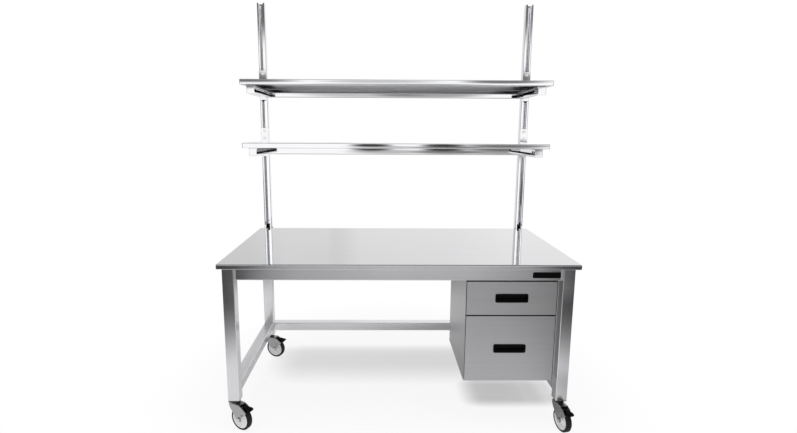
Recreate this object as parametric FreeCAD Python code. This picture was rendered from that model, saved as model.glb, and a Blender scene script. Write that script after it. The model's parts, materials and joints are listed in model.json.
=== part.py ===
import FreeCAD, Part
import math
import os

from FreeCAD import Vector

# Stainless steel cleanroom table on casters, with a hung drawer cabinet and two height-adjustable shelves.
# Millimetres. X runs to the right, Y to the back and Z up. The pieces are laid out with X = 0 at the
# table's middle, Y = 0 at the worktop's front edge and Z = 0 on the floor, and the whole is then moved so
# that the origin is on the floor under the middle of its bounding box.

# Worktop: a folded sheet pan on hat channels
top_width = 1828.8
top_depth = 914.4
top_height = 914.4
top_edge = 25.4
top_sheet = 2.0
top_fold = 60.0
top_arris = 5.0
hat_count = 3
hat_spacing = 257.0
hat_crown = 50.0
hat_brim = 18.0
hat_sheet = 1.5
hat_end_gap = 0.5

# Frame of welded tube
leg_side = 60.0
leg_inset_side = 19.4
leg_inset_front = 30.0
tube_wall = 2.0
apron_height = 71.0
apron_depth = 30.0
apron_setback = 20.0
stretcher_height = 54.0
stretcher_top = 252.0

# Swivel casters: wheel, fork, swivel head and brake pedal
wheel_diameter = 127.0
wheel_width = 32.0
tyre_thickness = 13.5
core_flats = 24
rim_thickness = 6.0
rim_inset = 1.5
web_thickness = 10.0
hub_radius = 14.0
hub_overhang = 2.0
axle_radius = 6.0
axle_flats = 8.0
axle_hex = 19.0
axle_head = 7.0
running_play = 0.05
caster_trail = 42.0
fork_side_gap = 3.5
fork_sheet = 3.0
fork_front = 27.0
fork_front_depth = 20.0
fork_foot = 14.0
fork_foot_cut = 7.0
notch_offset = 17.0
notch_rise = 36.0
ear_reach = 32.0
ear_drop = 18.0
ear_tip = 8.0
ear_depth = 16.0
crown_clearance = 14.0
crown_sheet = 4.0
race_radius = 26.0
race_height = 15.0
swivel_play = 0.3
kingpin_radius = 6.0
kingpin_hex = 19.0
kingpin_head = 6.0
mount_plate = 5.0
pedal_pin_radius = 3.0
pedal_pin_clearance = 7.9
pedal_pin_lean = 16.3
pedal_side_gap = 1.5
pedal_hub = 6.0
pedal_belly = 11.0
pedal_arm_reach = 44.0
pedal_arm_drop = 20.0
pedal_tread_width = 46.0
pedal_tread_start = 37.0
pedal_tread_reach = 51.0
pedal_tread_top = 2.0
pedal_tip_width = 15.0
pedal_tip_reach = 60.0
pedal_tip_rise = 6.0
pedal_tip_thickness = 6.0

# Rest direction of each caster's trail, in degrees from +X
caster_heading = {"front_left": -30.0, "front_right": -76.5, "rear_left": -18.0, "rear_right": -140.0}

# Uprights: slotted channels behind the worktop, held by square-necked T-head bolts
upright_rise = 1460.0
upright_overlap = 343.4
upright_width = 50.0
upright_depth = 41.0
upright_wall = 2.5
upright_slot = 27.0
upright_inset = 28.4
upright_bolt_drop = 60.0
upright_bolt_rise = 83.0
stop_bolt_rise = 14.0
bolt_neck = 10.0
bolt_play = 0.1
bolt_hex = 17.0
bolt_nut = 8.0
bolt_head = 8.0
bolt_head_height = 22.0
bolt_head_gap = 2.5

# Shelves on cantilever brackets
shelf_rise = 584.6
shelf_spacing = 367.0
shelf_overhang = 28.4
shelf_depth = 355.6
shelf_edge = 30.0
shelf_sheet = 1.5
shelf_fold = 60.0
shelf_arris = 3.0
shelf_back_gap = 4.0
plate_thickness = 5.0
plate_above = 92.0
plate_below = 96.0
plate_corner = 5.0
plate_play = 0.2
plate_bolt_rise = 25.0
plate_bolt_drop = 20.0
arm_height = 50.8
arm_wall = 2.5
arm_slot = 27.0
arm_slot_margin = 12.0
arm_front_gap = 42.0
rail_height = 50.8
rail_depth = 25.0

# Drawer cabinet hung under the right-hand end
cabinet_leg_gap = 15.0
cabinet_width = 475.0
cabinet_depth = 495.0
cabinet_bottom = 268.0
cabinet_sheet = 2.0
cabinet_flange = 25.0
cabinet_apron_gap = 1.0

# Drawers: folded fronts, sheet boxes, moulded pulls and telescopic slides
front_gap = 3.0
front_side_gap = 2.5
front_rear_gap = 1.0
front_depth = 22.0
front_sheet = 1.5
front_fold = 22.0
front_arris = 1.5
lower_front_height = 362.0
box_sheet = 1.5
box_rear_gap = 21.0
box_lift = {"upper": 16.0, "lower": 20.0}
box_headroom = {"upper": 38.0, "lower": 52.0}
slide_thickness = 12.7
slide_height = 45.0
slide_wall = 1.3
slide_play = 0.35
slide_setback = 4.0
pull_width = 170.0
pull_height = 47.0
pull_corner = 9.0
pull_bezel = 2.5
pull_rim = 6.0
pull_wall = 3.0
pull_rear_gap = 3.0
pull_brow = 5.0
pull_scoop = 12.0
pull_scoop_round = 8.0
pull_play = 0.3

SIDES = {"left": -1, "right": 1}
ENDS = ("front", "rear")
LEVELS = ("upper", "lower")

# Directions of a section drawn in X and Y and then swept: up, to the right, or to the front
UP = FreeCAD.Rotation()
RIGHT = FreeCAD.Rotation(Vector(0, 1, 0), Vector(0, 0, 1), Vector(1, 0, 0))
FRONT = FreeCAD.Rotation(Vector(1, 0, 0), Vector(0, 0, 1), Vector(0, -1, 0))

# Places that several pieces share
frame_top = top_height - top_edge
leg_x = top_width / 2 - leg_inset_side - leg_side / 2
leg_y = {"front": leg_inset_front + leg_side / 2, "rear": top_depth - leg_side / 2}
frame_gap = leg_x - leg_side / 2
apron_front = leg_inset_front + apron_setback
apron_bottom = frame_top - apron_height
wheel_radius = wheel_diameter / 2
rim_radius = wheel_radius - tyre_thickness
fork_inside = wheel_width + 2 * fork_side_gap
fork_width = fork_inside + 2 * fork_sheet
crown_bottom = wheel_diameter + crown_clearance
crown_top = crown_bottom + crown_sheet
leg_bottom = crown_top + race_height + mount_plate
pedal_pin_distance = wheel_radius + pedal_pin_clearance
pedal_pin_x = caster_trail + pedal_pin_distance * math.sin(math.radians(pedal_pin_lean))
pedal_pin_z = wheel_radius + pedal_pin_distance * math.cos(math.radians(pedal_pin_lean))
upright_x = top_width / 2 - upright_inset - upright_width / 2
upright_front = top_depth
upright_lips = upright_front + upright_wall
upright_rear = upright_front + upright_depth
upright_foot = frame_top - upright_overlap
upright_length = top_height + upright_rise - upright_foot
upright_bolt_heights = (frame_top - upright_bolt_drop, upright_foot + upright_bolt_rise)
stop_height = top_height + stop_bolt_rise
shelf_height = {"upper": top_height + shelf_rise + shelf_spacing, "lower": top_height + shelf_rise}
shelf_width = 2 * upright_x + upright_width + 2 * shelf_overhang
plate_front = upright_front - plate_play - plate_thickness
plate_bolt_rises = (plate_bolt_rise, plate_above - plate_bolt_drop)
shelf_rear = plate_front - shelf_back_gap
shelf_front = shelf_rear - shelf_depth
cabinet_right = frame_gap - cabinet_leg_gap
cabinet_left = cabinet_right - cabinet_width
cabinet_rear = apron_front + cabinet_depth
drawer_x = (cabinet_left + cabinet_right) / 2
box_front = apron_front + front_depth
box_length = cabinet_rear - cabinet_sheet - box_rear_gap - box_front
front_split = cabinet_bottom + lower_front_height
front_span = {"upper": (front_split + front_gap, apron_bottom - front_gap),
              "lower": (cabinet_bottom, front_split)}
pull_depth = front_depth - pull_rear_gap
cup_width = pull_width - 2 * pull_rim
cup_height = pull_height - 2 * pull_rim

nodes = {}


def outline(corners):
    """Flat face from (x, y, radius) corners, joined by straight edges and tangent arcs."""
    edges = []
    ends = []
    for i, (x, y, radius) in enumerate(corners):
        next_x, next_y, _ = corners[(i + 1) % len(corners)]
        corner = Vector(x, y, 0)
        before = Vector(corners[i - 1][0] - x, corners[i - 1][1] - y, 0).normalize()
        after = Vector(next_x - x, next_y - y, 0).normalize()
        half = before.getAngle(after) / 2
        reach = radius / math.tan(half)
        ends.append((corner + before * reach, corner + after * reach))
        if radius > 0:
            middle = corner + (before + after).normalize() * (radius / math.sin(half) - radius)
            edges.append(Part.Arc(ends[-1][0], middle, ends[-1][1]).toShape())
    for i, (start, _) in enumerate(ends):
        if (start - ends[i - 1][1]).Length > 1e-6:
            edges.append(Part.LineSegment(ends[i - 1][1], start).toShape())
    return Part.Face(Part.Wire(Part.__sortEdges__(edges)))


def polygon(points):
    """Flat face with straight sides."""
    return outline([(x, y, 0) for x, y in points])


def rectangle(width, height, radius=0.0):
    """Centred rectangle with rounded corners."""
    signs = ((-1, -1), (1, -1), (1, 1), (-1, 1))
    return outline([(sx * width / 2, sy * height / 2, radius) for sx, sy in signs])


def cut_rectangle(width, height, cut):
    """Centred rectangle with its corners cut off at 45 degrees."""
    near = (width / 2 - cut, height / 2 - cut)
    far = (width / 2, height / 2)
    quarter = [(far[0], near[1]), (near[0], far[1])]
    right = quarter + [(-x, y) for x, y in reversed(quarter)]
    return polygon(right + [(-x, -y) for x, y in right])


def sweep(face, length, direction=UP, base=Vector()):
    """Straight bar of the given section, starting at base."""
    bar = face.extrude(Vector(0, 0, length))
    bar.Placement = FreeCAD.Placement(base, direction)
    return bar


def tube(width, height, wall, length, direction, base):
    """Rectangular tube with its corners taken off, starting with the middle of its section at base."""
    bar = sweep(cut_rectangle(width, height, wall), length, direction, base)
    return bar.cut(sweep(rectangle(width - 2 * wall, height - 2 * wall), length, direction, base))


def block(low, high):
    """Box between two opposite corners."""
    return Part.makeBox(high[0] - low[0], high[1] - low[1], high[2] - low[2], Vector(*low))


def square_bar(side, x, z, front, rear):
    """Square bar along Y."""
    return block((x - side / 2, front, z - side / 2), (x + side / 2, rear, z + side / 2))


def regular(count, radius):
    """Centred polygon with equal sides and its corners on a circle."""
    angles = [2 * math.pi * i / count for i in range(count)]
    return polygon([(radius * math.cos(a), radius * math.sin(a)) for a in angles])


def hex_face(across_flats):
    """Hexagon of a bolt head or nut."""
    return regular(6, across_flats / math.sqrt(3))


def hexagon(across_flats, x, z, front, rear):
    """Hexagonal bar along Y."""
    return sweep(hex_face(across_flats), rear - front, FRONT, Vector(x, rear, z))


def pan(width, depth, edge, sheet, fold):
    """Folded sheet pan with its face up at z = 0, edges turned down and folded in underneath."""
    body = sweep(rectangle(width, depth), edge, base=Vector(0, 0, -edge))
    hollow = sweep(rectangle(width - 2 * sheet, depth - 2 * sheet), edge - 2 * sheet,
                   base=Vector(0, 0, sheet - edge))
    mouth = sweep(rectangle(width - 2 * fold, depth - 2 * fold), sheet, base=Vector(0, 0, -edge))
    return body.cut(hollow).cut(mouth)


def face_edges(body):
    """Outer edges of a pan's face."""
    return [e for e in body.Edges if e.BoundBox.ZMin > -1e-3]


def worktop():
    """Sheet pan and the hat channels that stiffen it from below."""
    top = pan(top_width, top_depth, top_edge, top_sheet, top_fold)
    top = top.makeFillet(top_arris, face_edges(top))
    top.translate(Vector(0, top_depth / 2, top_height))
    nodes["worktop"] = top
    low = top_sheet - top_edge
    bend = hat_crown / 2
    brim = bend + hat_brim
    wall = bend - hat_sheet
    half = [(wall, 0), (brim, 0), (brim, -hat_sheet), (bend, -hat_sheet), (bend, low)]
    inner = [(-wall, 0), (-wall, low + hat_sheet), (wall, low + hat_sheet)]
    section = polygon(half + [(-x, y) for x, y in reversed(half[1:])] + inner)
    length = top_width - 2 * top_fold - 2 * hat_end_gap
    hats = []
    for i in range(hat_count):
        y = top_depth / 2 + hat_spacing * (i - (hat_count - 1) / 2)
        hats.append(sweep(section, length, RIGHT, Vector(-length / 2, y, top_height - top_sheet)))
    nodes["worktop_stiffeners"] = Part.makeCompound(hats)


def welded_frame():
    """Legs, the aprons under the worktop and the low stretchers at both sides and the back."""
    apron_z = frame_top - apron_height / 2
    stretcher_z = stretcher_top - stretcher_height / 2
    rear = leg_y["rear"] - leg_side / 2
    depth = rear - leg_y["front"] - leg_side / 2
    for side, sign in SIDES.items():
        for end in ENDS:
            nodes[f"{end}_{side}_leg"] = tube(leg_side, leg_side, tube_wall, frame_top - leg_bottom, UP,
                                              Vector(sign * leg_x, leg_y[end], leg_bottom))
        for z in upright_bolt_heights:
            hole = square_bar(bolt_neck + 2 * bolt_play, sign * upright_x, z,
                              upright_front - tube_wall, upright_front)
            nodes[f"rear_{side}_leg"] = nodes[f"rear_{side}_leg"].cut(hole)
        apron_x = sign * (leg_x + leg_side / 2 - apron_setback - apron_depth / 2)
        nodes[f"{side}_apron"] = tube(apron_depth, apron_height, tube_wall, depth, FRONT,
                                      Vector(apron_x, rear, apron_z))
        nodes[f"{side}_stretcher"] = tube(leg_side, stretcher_height, tube_wall, depth, FRONT,
                                          Vector(sign * leg_x, rear, stretcher_z))
    apron_y = {"front": apron_front + apron_depth / 2, "rear": top_depth - apron_setback - apron_depth / 2}
    for end in ENDS:
        nodes[f"{end}_apron"] = tube(apron_depth, apron_height, tube_wall, 2 * frame_gap, RIGHT,
                                     Vector(-frame_gap, apron_y[end], apron_z))
    nodes["rear_stretcher"] = tube(leg_side, stretcher_height, tube_wall, 2 * frame_gap, RIGHT,
                                   Vector(-frame_gap, leg_y["rear"], stretcher_z))


def caster_mount():
    """Square plate under a leg, with the fixed race and the headed kingpin that the fork swivels on."""
    plate_bottom = leg_bottom - mount_plate
    race_bottom = crown_top + swivel_play
    head_top = crown_bottom - swivel_play
    plate = sweep(cut_rectangle(leg_side, leg_side, tube_wall), mount_plate,
                  base=Vector(0, 0, plate_bottom))
    race = Part.makeCylinder(race_radius, plate_bottom - race_bottom, Vector(0, 0, race_bottom))
    kingpin = Part.makeCylinder(kingpin_radius, race_bottom - head_top, Vector(0, 0, head_top))
    head = sweep(hex_face(kingpin_hex), kingpin_head, base=Vector(0, 0, head_top - kingpin_head))
    return plate.fuse([race, kingpin, head]).removeSplitter()


def across(radius, x, z, width):
    """Round bar of the given length across a caster, centred on its middle plane."""
    return Part.makeCylinder(radius, width, Vector(x, -width / 2, z), Vector(0, 1, 0))


def caster_fork():
    """Pressed fork: a crown that turns on the kingpin, two legs with ears, and the brake pedal's pin."""
    ear_x = pedal_pin_x + ear_reach
    ear_z = pedal_pin_z - ear_drop
    foot_z = wheel_radius - fork_foot
    foot_tip = fork_foot - fork_foot_cut
    side = polygon([
        (-fork_front, crown_top), (pedal_pin_x - pedal_hub, crown_top), (ear_x, ear_z),
        (ear_x - ear_tip, ear_z - ear_depth), (caster_trail + notch_offset, wheel_radius + notch_rise),
        (caster_trail + fork_foot, foot_z + fork_foot_cut), (caster_trail + foot_tip, foot_z),
        (caster_trail - foot_tip, foot_z), (caster_trail - fork_foot, foot_z + fork_foot_cut),
        (-fork_front, crown_top - fork_front_depth)])
    fork = sweep(side, fork_width, FRONT, Vector(0, fork_width / 2, 0))
    fork = fork.cut(block((-fork_front, -fork_inside / 2, 0), (ear_x, fork_inside / 2, crown_bottom)))
    kingpin_hole = Part.makeCylinder(kingpin_radius + running_play, crown_sheet, Vector(0, 0, crown_bottom))
    axle_hole = square_bar(axle_flats + 2 * running_play, caster_trail, wheel_radius,
                           -fork_width / 2, fork_width / 2)
    pedal_pin = across(pedal_pin_radius, pedal_pin_x, pedal_pin_z, fork_inside)
    return fork.cut(kingpin_hole).cut(axle_hole).fuse(pedal_pin)


def caster_axle():
    """Axle bolt with a round journal between the fork's legs and squared ends in them, and its cap nut."""
    face = fork_width / 2
    journal = across(axle_radius, caster_trail, wheel_radius, fork_inside)
    ends = square_bar(axle_flats, caster_trail, wheel_radius, -face, face)
    head = hexagon(axle_hex, caster_trail, wheel_radius, -face - axle_head, -face)
    cap_nut = hexagon(axle_hex, caster_trail, wheel_radius, face, face + axle_head)
    return Part.makeCompound([journal.fuse([ends, head]).removeSplitter(), cap_nut])


def core_bar(radius, front, rear):
    """Bar along the axle with the wheel core's flats, which keep the tyre from slipping round it."""
    return sweep(regular(core_flats, radius), rear - front, FRONT, Vector(caster_trail, rear, wheel_radius))


def caster_wheel():
    """Moulded wheel core: a hub, a thin web and the rim that holds the tyre."""
    rim = wheel_width / 2 - rim_inset
    web = web_thickness / 2
    hub = wheel_width / 2 + hub_overhang
    core = core_bar(rim_radius, -rim, rim)
    for front, rear in ((-rim, -web), (web, rim)):
        core = core.cut(core_bar(rim_radius - rim_thickness, front, rear))
    bore = across(axle_radius + running_play, caster_trail, wheel_radius, 2 * hub)
    return core.fuse(core_bar(hub_radius, -hub, hub)).cut(bore).removeSplitter()


def caster_tyre():
    """Rubber tyre moulded on the rim."""
    tread = across(wheel_radius, caster_trail, wheel_radius, wheel_width)
    return tread.cut(core_bar(rim_radius, -wheel_width / 2, wheel_width / 2))


def caster_pedal():
    """Moulded brake pedal on its pin: an arm over the tyre, a wide tread and a toe tip."""
    arm_width = fork_inside - 2 * pedal_side_gap
    arm = polygon([
        (-pedal_hub, 0), (0, pedal_hub), (pedal_arm_reach, 0), (pedal_arm_reach, -pedal_arm_drop),
        (pedal_arm_reach / 2, -pedal_belly), (0, -pedal_hub)])
    tread = polygon([
        (pedal_tread_start, pedal_tread_top), (pedal_tread_reach, 0), (pedal_tread_reach, -pedal_belly),
        (pedal_arm_reach, -pedal_arm_drop), (pedal_tread_start, -pedal_arm_drop)])
    tip = polygon([
        (pedal_arm_reach, 0), (pedal_tip_reach, pedal_tip_rise),
        (pedal_tip_reach, pedal_tip_rise - pedal_tip_thickness), (pedal_arm_reach, -pedal_belly)])
    pieces = []
    for face, width in ((arm, arm_width), (tread, pedal_tread_width), (tip, pedal_tip_width)):
        pieces.append(sweep(face, width, FRONT, Vector(0, width / 2, 0)))
    pedal = pieces[0].fuse(pieces[1:]).cut(across(pedal_pin_radius + running_play, 0, 0, arm_width))
    pedal = pedal.removeSplitter()
    pedal.translate(Vector(pedal_pin_x, 0, pedal_pin_z))
    return pedal


def casters():
    """One swivel caster under each leg, turned to its rest direction."""
    pieces = {"fork": caster_fork(), "axle": caster_axle(), "wheel": caster_wheel(), "tyre": caster_tyre(),
              "brake_pedal": caster_pedal()}
    mount = caster_mount()
    mounts = []
    for end in ENDS:
        for side, sign in SIDES.items():
            place = Vector(sign * leg_x, leg_y[end], 0)
            mounts.append(mount.translated(place))
            turn = FreeCAD.Rotation(Vector(0, 0, 1), caster_heading[f"{end}_{side}"])
            for name, piece in pieces.items():
                turned = piece.copy()
                turned.Placement = FreeCAD.Placement(place, turn) * turned.Placement
                nodes[f"{end}_{side}_caster_{name}"] = turned
    nodes["caster_mounts"] = Part.makeCompound(mounts)


def channel_bolt(x, z, seat, grip):
    """T-head bolt with its head behind the lips of an upright and its nut on the clamped sheet at grip."""
    head_width = upright_width - 2 * upright_wall - 2 * bolt_head_gap
    head = block((x - head_width / 2, seat, z - bolt_head_height / 2),
                 (x + head_width / 2, seat + bolt_head, z + bolt_head_height / 2))
    neck = square_bar(bolt_neck, x, z, grip, seat)
    return [head.fuse(neck).removeSplitter(), hexagon(bolt_hex, x, z, grip - bolt_nut, grip)]


def uprights():
    """Slotted channels, open to the front, bolted to the rear legs, with a stop bolt over the worktop."""
    web_inside = upright_rear - upright_wall
    fasteners = []
    for side, sign in SIDES.items():
        x = sign * upright_x
        channel = tube(upright_width, upright_depth, upright_wall, upright_length, UP,
                       Vector(x, upright_front + upright_depth / 2, upright_foot))
        slot = block((x - upright_slot / 2, upright_front, upright_foot),
                     (x + upright_slot / 2, upright_lips, upright_foot + upright_length))
        stop_hole = square_bar(bolt_neck + 2 * bolt_play, x, stop_height, web_inside, upright_rear)
        nodes[f"{side}_upright"] = channel.cut(slot).cut(stop_hole)
        for z in upright_bolt_heights:
            fasteners += channel_bolt(x, z, upright_lips, upright_front - tube_wall)
        stop = hexagon(bolt_hex, x, stop_height, web_inside - bolt_head, web_inside)
        stop = stop.fuse(square_bar(bolt_neck, x, stop_height, web_inside, upright_rear)).removeSplitter()
        fasteners += [stop, hexagon(bolt_hex, x, stop_height, upright_rear, upright_rear + bolt_nut)]
    nodes["upright_bolts"] = Part.makeCompound(fasteners)


def bracket(sign, height):
    """Plate on the upright with a cantilever arm, a box channel slotted on its inner side."""
    x = sign * upright_x
    plate_face = cut_rectangle(upright_width, plate_above + plate_below, plate_corner)
    plate = sweep(plate_face, plate_thickness, FRONT,
                  Vector(x, plate_front + plate_thickness, height + (plate_above - plate_below) / 2))
    for rise in plate_bolt_rises:
        hole = square_bar(bolt_neck + 2 * bolt_play, x, height + rise, plate_front, upright_front)
        plate = plate.cut(hole)
    arm_front = shelf_front + arm_front_gap
    arm_length = plate_front - arm_front
    arm_z = height - shelf_edge - arm_height / 2
    base = Vector(x, plate_front, arm_z)
    arm = sweep(cut_rectangle(upright_width, arm_height, arm_wall), arm_length, FRONT, base)
    bore = rectangle(upright_width - 2 * arm_wall, arm_height - 2 * arm_wall)
    arm = arm.cut(sweep(bore, arm_length - arm_wall, FRONT, base))
    wall_x = sorted([x - sign * upright_width / 2, x - sign * (upright_width / 2 - arm_wall)])
    slot = block((wall_x[0], arm_front + arm_slot_margin, arm_z - arm_slot / 2),
                 (wall_x[1], plate_front - arm_slot_margin, arm_z + arm_slot / 2))
    return plate.fuse(arm.cut(slot)).removeSplitter()


def shelves():
    """Two folded shelves, each on a pair of brackets joined by a rail and bolted to the uprights."""
    rail_end = upright_x - upright_width / 2
    for level in LEVELS:
        height = shelf_height[level]
        shelf = pan(shelf_width, shelf_depth, shelf_edge, shelf_sheet, shelf_fold)
        shelf = shelf.makeChamfer(shelf_arris, face_edges(shelf))
        shelf.translate(Vector(0, shelf_rear - shelf_depth / 2, height))
        nodes[f"{level}_shelf"] = shelf
        nodes[f"{level}_shelf_rail"] = tube(
            rail_depth, rail_height, tube_wall, 2 * rail_end, RIGHT,
            Vector(-rail_end, shelf_rear - rail_depth / 2, height - shelf_edge - rail_height / 2))
        fasteners = []
        for side, sign in SIDES.items():
            nodes[f"{level}_{side}_bracket"] = bracket(sign, height)
            for rise in plate_bolt_rises:
                fasteners += channel_bolt(sign * upright_x, height + rise,
                                          upright_lips + plate_play, plate_front)
        nodes[f"{level}_bracket_bolts"] = Part.makeCompound(fasteners)


def cabinet():
    """Folded cabinet shell, open at the front, hung from the hat channels by the flanges along its top."""
    behind_apron = apron_front + apron_depth + cabinet_apron_gap
    under_apron = apron_bottom - cabinet_apron_gap
    side = polygon([
        (apron_front, cabinet_bottom), (cabinet_rear, cabinet_bottom), (cabinet_rear, frame_top),
        (behind_apron, frame_top), (behind_apron, under_apron), (apron_front, under_apron)])
    shell = sweep(side, cabinet_width, RIGHT, Vector(cabinet_left, 0, 0))
    left = cabinet_left + cabinet_sheet
    right = cabinet_right - cabinet_sheet
    floor = cabinet_bottom + cabinet_sheet
    ceiling = frame_top - cabinet_sheet
    inside = block((left, apron_front, floor), (right, cabinet_rear - cabinet_sheet, ceiling))
    hatch = block((cabinet_left + cabinet_flange, behind_apron, ceiling),
                  (cabinet_right - cabinet_flange, cabinet_rear - cabinet_flange, frame_top))
    sill = block((left, apron_front, cabinet_bottom), (right, box_front + front_rear_gap, floor))
    nodes["cabinet_shell"] = shell.cut(inside).cut(hatch).cut(sill)


def slide_pair(web, rim, half_height, z):
    """Rolled channels of a left and a right slide, with web and rim this far from the cabinet's walls."""
    inside = web + math.copysign(slide_wall, rim - web)
    flange = half_height - slide_wall
    rear = box_front + slide_setback + box_length
    upper = [(web, half_height), (rim, half_height), (rim, flange), (inside, flange)]
    section = upper + [(x, -y) for x, y in reversed(upper)]
    members = []
    for wall, inward in ((cabinet_left + cabinet_sheet, 1), (cabinet_right - cabinet_sheet, -1)):
        face = polygon([(inward * x, y) for x, y in section])
        members.append(sweep(face, box_length, FRONT, Vector(wall, rear, z)))
    return members


def drawer_pull():
    """Moulded recessed pull, face up at z = 0: a bezel, and a cup with a scooped floor behind a brow."""
    bezel = sweep(rectangle(pull_width, pull_height, pull_corner), pull_bezel)
    cup = sweep(rectangle(cup_width, cup_height), pull_depth, base=Vector(0, 0, -pull_depth))
    mouth = cup_height / 2 - pull_wall
    floor = pull_wall - pull_depth
    scoop = outline([
        (-mouth, pull_bezel, 0), (-mouth, 0, 0), (pull_scoop - mouth, floor, pull_scoop_round),
        (mouth, floor, 0), (mouth, 0, 0), (mouth - pull_brow, 0, 0), (mouth - pull_brow, pull_bezel, 0)])
    length = cup_width - 2 * pull_wall
    return bezel.fuse(cup).cut(sweep(scoop, length, RIGHT, Vector(-length / 2, 0, 0))).removeSplitter()


def drawers():
    """Two drawers, each a folded front with its pull, a sheet box and a pair of telescopic slides."""
    front_width = cabinet_width - 2 * cabinet_sheet - 2 * front_side_gap
    box_width = cabinet_width - 2 * cabinet_sheet - 2 * slide_thickness
    pull_hole = sweep(rectangle(cup_width + 2 * pull_play, cup_height + 2 * pull_play), front_sheet,
                      base=Vector(0, 0, -front_sheet))
    rim = slide_thickness - slide_wall - slide_play
    step = slide_wall + slide_play
    half = slide_height / 2
    outers = []
    for level in LEVELS:
        low, high = front_span[level]
        place = FreeCAD.Placement(Vector(drawer_x, apron_front, (low + high) / 2), FRONT)
        front = pan(front_width, high - low, front_depth, front_sheet, front_fold)
        front = front.makeChamfer(front_arris, face_edges(front)).cut(pull_hole)
        front.Placement = place
        nodes[f"{level}_drawer_front"] = front
        pull = drawer_pull()
        pull.Placement = place
        nodes[f"{level}_drawer_pull"] = pull
        bottom = low + box_lift[level]
        height = high - box_headroom[level] - bottom
        middle = Vector(drawer_x, box_front + box_length / 2, bottom)
        outside = sweep(rectangle(box_width, box_length), height, base=middle)
        inside = sweep(rectangle(box_width - 2 * box_sheet, box_length - 2 * box_sheet), height,
                       base=middle + Vector(0, 0, box_sheet))
        nodes[f"{level}_drawer_box"] = outside.cut(inside)
        z = bottom + height / 2
        outers += slide_pair(0, rim, half, z)
        nodes[f"{level}_slide_middles"] = Part.makeCompound(slide_pair(step, rim, half - step, z))
        nodes[f"{level}_slide_inners"] = Part.makeCompound(
            slide_pair(slide_thickness, 2 * step, half - 2 * step, z))
    nodes["slide_outers"] = Part.makeCompound(outers)


worktop()
welded_frame()
casters()
uprights()
shelves()
cabinet()
drawers()

box = Part.makeCompound(list(nodes.values())).optimalBoundingBox(False, False)
origin = Vector((box.XMin + box.XMax) / 2, (box.YMin + box.YMax) / 2, box.ZMin)
os.makedirs("parts", exist_ok=True)
for name, shape in nodes.items():
    shape.translated(-origin).exportStep(f"parts/{name}.step")
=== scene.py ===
import json
import math

import bmesh
import bpy
from mathutils import Matrix, Vector


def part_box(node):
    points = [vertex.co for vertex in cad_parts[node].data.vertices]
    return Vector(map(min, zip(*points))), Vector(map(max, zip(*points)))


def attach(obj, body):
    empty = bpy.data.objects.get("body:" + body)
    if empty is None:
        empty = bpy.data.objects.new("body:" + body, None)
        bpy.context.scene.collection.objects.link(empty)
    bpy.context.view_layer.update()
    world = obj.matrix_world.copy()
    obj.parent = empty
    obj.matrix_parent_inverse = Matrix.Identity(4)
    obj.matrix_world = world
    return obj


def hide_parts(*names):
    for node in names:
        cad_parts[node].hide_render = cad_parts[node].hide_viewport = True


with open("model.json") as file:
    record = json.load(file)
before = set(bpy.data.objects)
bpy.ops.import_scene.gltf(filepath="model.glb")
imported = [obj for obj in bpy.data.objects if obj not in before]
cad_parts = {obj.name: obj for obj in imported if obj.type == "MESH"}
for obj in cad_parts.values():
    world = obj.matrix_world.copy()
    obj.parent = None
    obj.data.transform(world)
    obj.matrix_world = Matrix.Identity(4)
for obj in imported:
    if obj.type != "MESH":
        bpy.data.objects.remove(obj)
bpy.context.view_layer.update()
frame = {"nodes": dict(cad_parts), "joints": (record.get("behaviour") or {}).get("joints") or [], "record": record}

# Looks of a stainless steel cleanroom table on casters. Metres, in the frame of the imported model:
# X to the right, Y to the back, Z up, with the origin on the floor under the middle of the table.

# The photograph's camera, fitted in pixels of a 797 x 433 image
IMAGE_WIDTH = 797
IMAGE_HEIGHT = 433
FOCAL_PX = 474.5
CENTRE_PX = (383.42, 208.5)
CAMERA_PLACE = (-0.106, -2.7338, 1.5673)
CAMERA_YAW = 0.0106
CAMERA_PITCH = 0.1602
CAMERA_ROLL = 0.0046
SENSOR_MM = 36.0

# Corner and bend radii, sheet thicknesses and folds
LEG_CORNER = 0.0035
RAIL_CORNER = 0.004
TOP_CORNER = 0.008
TOP_ARRIS = 0.005
TOP_SHEET = 0.002
TOP_FOLD = 0.06
SHELF_CORNER = 0.005
SHELF_ARRIS = 0.003
SHELF_SHEET = 0.0015
FRONT_CORNER = 0.0025
FRONT_ARRIS = 0.0015
FRONT_FOLD = 0.02
FRONT_RELIEF = 0.0026
CHANNEL_WALL = 0.0025
CHANNEL_SLOT = 0.027
CHANNEL_BEND = 0.005
BRACKET_PLATE = 0.005
BRACKET_PLATE_EDGE = 0.0015
ARM_HEIGHT = 0.0508
SHELF_EDGE = 0.03
CASE_EDGE = 0.0006
# Height of the band of painted shade on the case's front, under the apron
CASE_SHADED_BAND = 0.03
TRAY_EDGE = 0.0005
CRISP = 0.0008
FLOOR_RADIUS = 5.0

# The end cap of a shelf arm, set in from the channel's outside by this many wall thicknesses
CAP_INSET = 1.05

# Recessed drawer pull: its overlap on the drawer front, then bezel, rim and brow, the lip before the brow,
# the room behind the cup, the rise of the scooped floor, and its corners, edges and wall
PULL_OVERLAP = 0.0055
PULL_BEZEL = 0.0025
PULL_RIM = 0.0075
PULL_BROW = 0.005
PULL_LIP = 0.003
PULL_BACK_ROOM = 0.004
PULL_SCOOP = 0.011
PULL_CORNER = 0.009
PULL_EDGE = 0.0012
PULL_WALL = 0.0006

# Bare plate on the apron
BARE_PLATE_WIDTH = 0.144
BARE_PLATE_HEIGHT = 0.031
BARE_PLATE_THICKNESS = 0.0012
BARE_PLATE_END_GAP = 0.0065
BARE_PLATE_DROP = 0.0064
BARE_PLATE_CORNER = 0.006
BARE_PLATE_EDGE = 0.0004

# Blue of the steel over its red and green
COOL_STEEL = 1.02

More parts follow.
